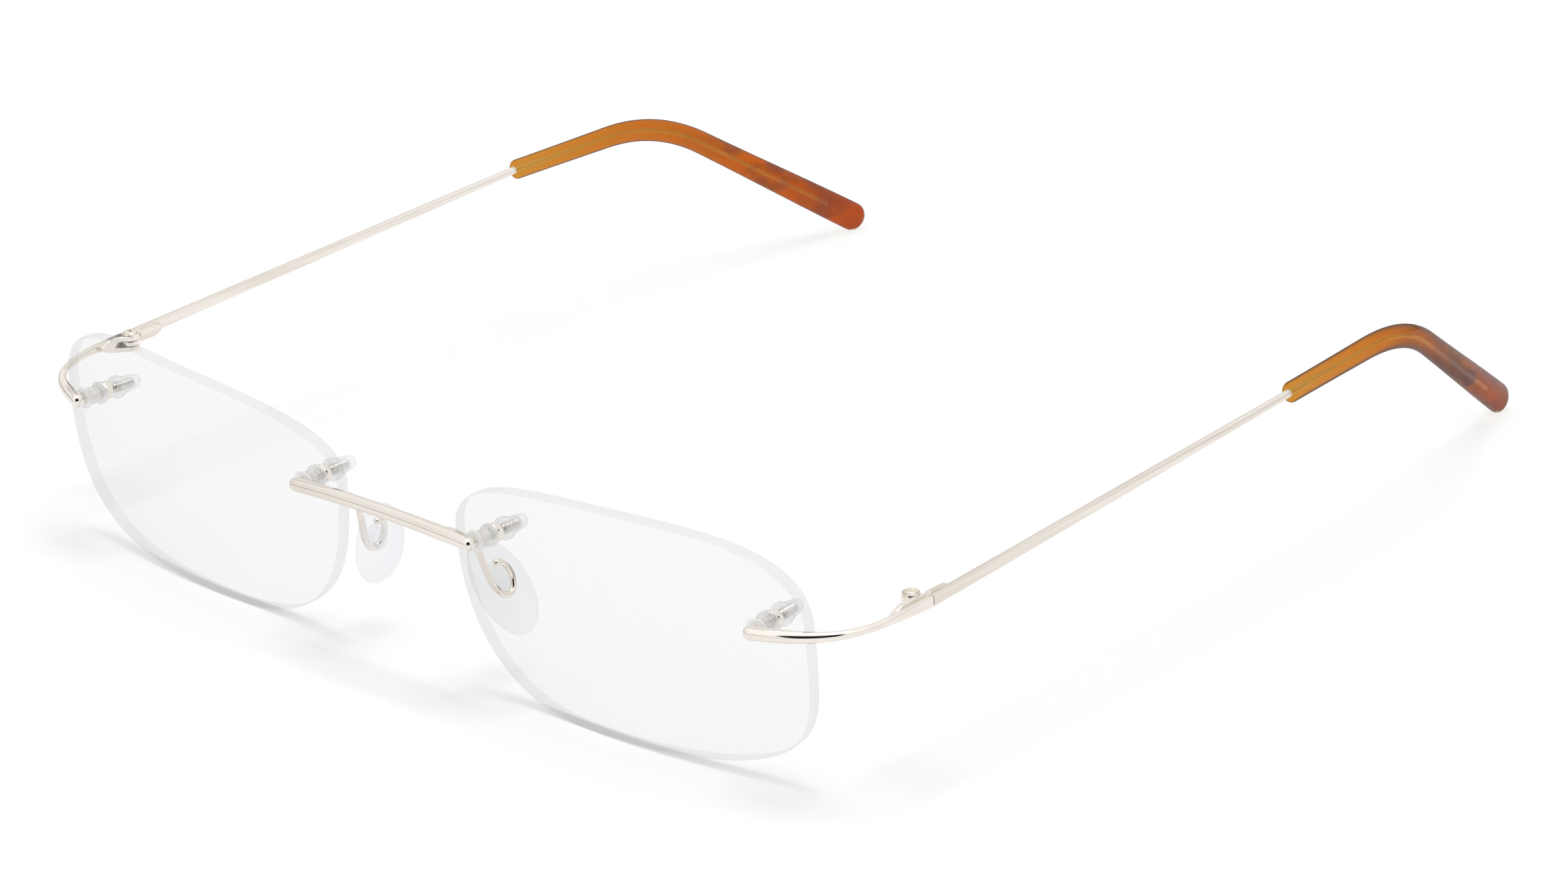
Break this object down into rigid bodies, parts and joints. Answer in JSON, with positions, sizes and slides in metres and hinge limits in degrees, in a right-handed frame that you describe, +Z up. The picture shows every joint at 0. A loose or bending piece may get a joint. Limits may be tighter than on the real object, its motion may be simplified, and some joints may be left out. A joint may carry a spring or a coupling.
{
  "type": "rimless eyeglasses",
  "caption": "Rimless eyeglasses: drilled clear lenses bolted to a slim metal bridge and end pieces, wire-held nose pads, and folding metal temples with amber plastic tips.",
  "frame": {"origin": "middle of the footprint, on the table the opened glasses stand on", "axes": "+X towards the wearer's left, +Y back along the temples, +Z up"},
  "size_m": [0.136, 0.1486, 0.0302],
  "materials": {
    "bridge_metal": "polished pale gold plating",
    "end_piece_metal": "polished pale gold plating",
    "temple_metal": "polished pale gold plating",
    "pad_arm_metal": "polished pale gold plating",
    "hinge_screw_metal": "polished pale gold plating",
    "stud_steel": "bright turned steel",
    "washer_steel": "bright turned steel",
    "nut_steel": "bright turned steel",
    "lens_plastic": "clear, polished, coated",
    "sleeve_plastic": "clear",
    "cap_plastic": "clear",
    "pad_silicone": "clear with a faint blue cast",
    "tip_acetate": "polished amber tortoiseshell"
  },
  "bodies": {
    "front": {"bridge_bar": "bridge_metal", "lens_left": "lens_plastic", "lens_right": "lens_plastic", "stud_nasal_left": "stud_steel", "stud_nasal_right": "stud_steel", "front_washer_nasal_left": "sleeve_plastic", "front_washer_nasal_right": "sleeve_plastic", "sleeve_nasal_left": "sleeve_plastic", "sleeve_nasal_right": "sleeve_plastic", "metal_washer_nasal_left": "washer_steel", "metal_washer_nasal_right": "washer_steel", "hex_nut_nasal_left": "nut_steel", "hex_nut_nasal_right": "nut_steel", "end_cap_nasal_left": "cap_plastic", "end_cap_nasal_right": "cap_plastic", "stud_temporal_left": "stud_steel", "stud_temporal_right": "stud_steel", "front_washer_temporal_left": "sleeve_plastic", "front_washer_temporal_right": "sleeve_plastic", "sleeve_temporal_left": "sleeve_plastic", "sleeve_temporal_right": "sleeve_plastic", "metal_washer_temporal_left": "washer_steel", "metal_washer_temporal_right": "washer_steel", "hex_nut_temporal_left": "nut_steel", "hex_nut_temporal_right": "nut_steel", "end_cap_temporal_left": "cap_plastic", "end_cap_temporal_right": "cap_plastic", "pad_arm_left": "pad_arm_metal", "pad_arm_right": "pad_arm_metal", "end_piece_left": "end_piece_metal", "end_piece_right": "end_piece_metal", "hinge_screw_left": "hinge_screw_metal", "hinge_screw_right": "hinge_screw_metal"},
    "temple_left": {"temple_left": "temple_metal", "temple_tip_left": "tip_acetate"},
    "temple_right": {"temple_right": "temple_metal", "temple_tip_right": "tip_acetate"},
    "pad_left": {"nose_pad_left": "pad_silicone"},
    "pad_right": {"nose_pad_right": "pad_silicone"}
  },
  "joints": [
    {"name": "temple_left_fold", "type": "hinge", "parent": "front", "child": "temple_left", "pos_m": [0.06595, -0.05378, 0.02036], "axis": [0, 0, 1], "range_deg": [0, 88]},
    {"name": "temple_right_fold", "type": "hinge", "parent": "front", "child": "temple_right", "pos_m": [-0.06595, -0.05378, 0.02036], "axis": [0, 0, -1], "range_deg": [0, 84]},
    {"name": "pad_left_rock", "type": "hinge", "parent": "front", "child": "pad_left", "pos_m": [0.01075, -0.06471, 0.01201], "axis": [-0.0898, 0.9248, 0.3698], "range_deg": [-5, 5]},
    {"name": "pad_right_rock", "type": "hinge", "parent": "front", "child": "pad_right", "pos_m": [-0.01075, -0.06471, 0.01201], "axis": [-0.0898, -0.9248, -0.3698], "range_deg": [-5, 5]}
  ]
}
